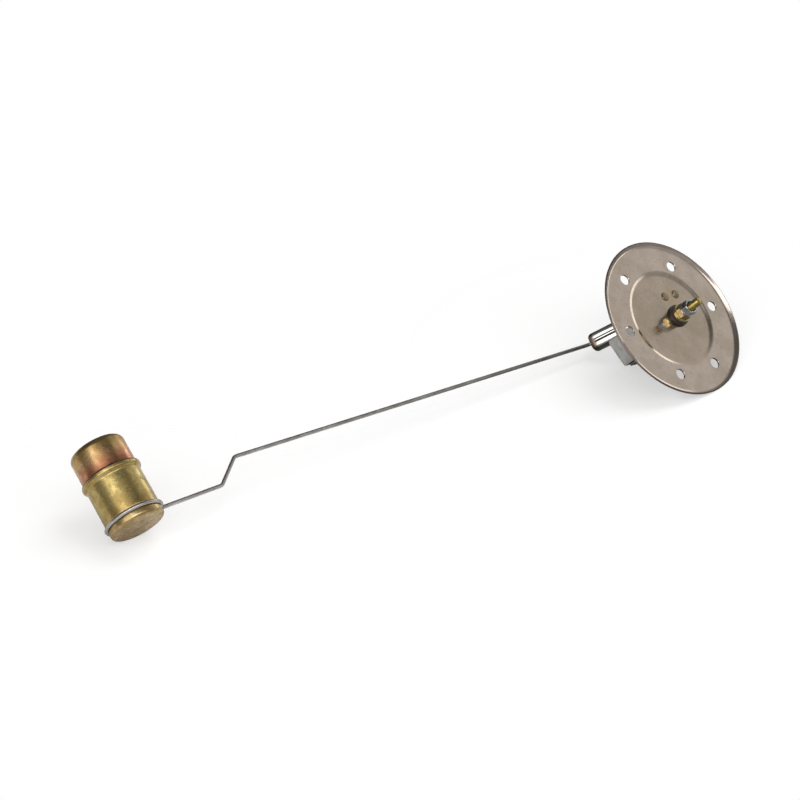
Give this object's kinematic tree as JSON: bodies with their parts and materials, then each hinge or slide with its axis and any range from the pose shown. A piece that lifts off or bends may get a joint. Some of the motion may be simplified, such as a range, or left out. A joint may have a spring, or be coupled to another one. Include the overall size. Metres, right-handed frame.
{
  "type": "fuel level sender",
  "caption": "Tank fuel gauge sender: a round bolted flange with a terminal and a resistor housing, and a hinged lever that carries a long wire arm with a soldered brass float.",
  "frame": {"origin": "centre of the flange, on the underside of its flat rim, which rests on the tank", "axes": "+Z out of the tank along the flange's axis; +X toward the float; +Y completes the right-handed set, with the lever on the -Y side of the housing"},
  "size_m": [0.3664, 0.0898, 0.1276],
  "materials": {
    "stainless_sheet": "rolled sheet steel, dull brown-grey stain over a bright face",
    "zinc_casting": null,
    "bright_plating": "bright plated steel",
    "brass": "turned and stamped brass",
    "float_brass": "drawn brass sheet, tarnished",
    "heat_stained_brass": "drawn brass sheet, pink-brown from soldering heat",
    "zinc_plating": "zinc plated steel, slightly blue",
    "moulded_insulator": "black moulded insulator",
    "red_fibre": "vulcanised fibre washer, dark red",
    "steel_wire": "drawn steel wire, dull",
    "solder": "dull soft solder",
    "resistance_wire": "oxidised resistance wire"
  },
  "bodies": {
    "sender_body": {"flange_plate": "stainless_sheet", "housing": "zinc_casting", "housing_cover": "zinc_plating", "cover_screw_front": "zinc_plating", "cover_screw_rear": "zinc_plating", "foot_rivet_front": "brass", "foot_rivet_rear": "brass", "terminal_stud": "brass", "insulating_bush": "moulded_insulator", "fibre_washer": "red_fibre", "brass_washer": "brass", "lower_nut": "brass", "plain_washer": "zinc_plating", "terminal_nut": "zinc_plating", "inner_insulating_washer": "red_fibre", "contact_strip": "brass", "resistor_card": "moulded_insulator", "resistance_winding": "resistance_wire", "card_screw_upper": "zinc_plating", "card_screw_lower": "zinc_plating", "card_eyelet": "brass", "spindle_bush": "brass"},
    "arm": {"spindle": "steel_wire", "wiper_hub": "brass", "wiper_arm": "brass", "wiper_contact": "bright_plating", "spindle_clip": "zinc_plating", "arm_lever": "bright_plating", "arm_clamp": "brass", "clamp_screw": "zinc_plating", "float_wire": "steel_wire", "float_upper_cup": "heat_stained_brass", "float_lower_cup": "float_brass", "solder_seam": "solder"}
  },
  "joints": [
    {"name": "arm_swing", "type": "hinge", "parent": "sender_body", "child": "arm", "pos_m": [-0.005, -0.0102, -0.0145], "axis": [0, 1, 0], "range_deg": [0, 66]}
  ]
}
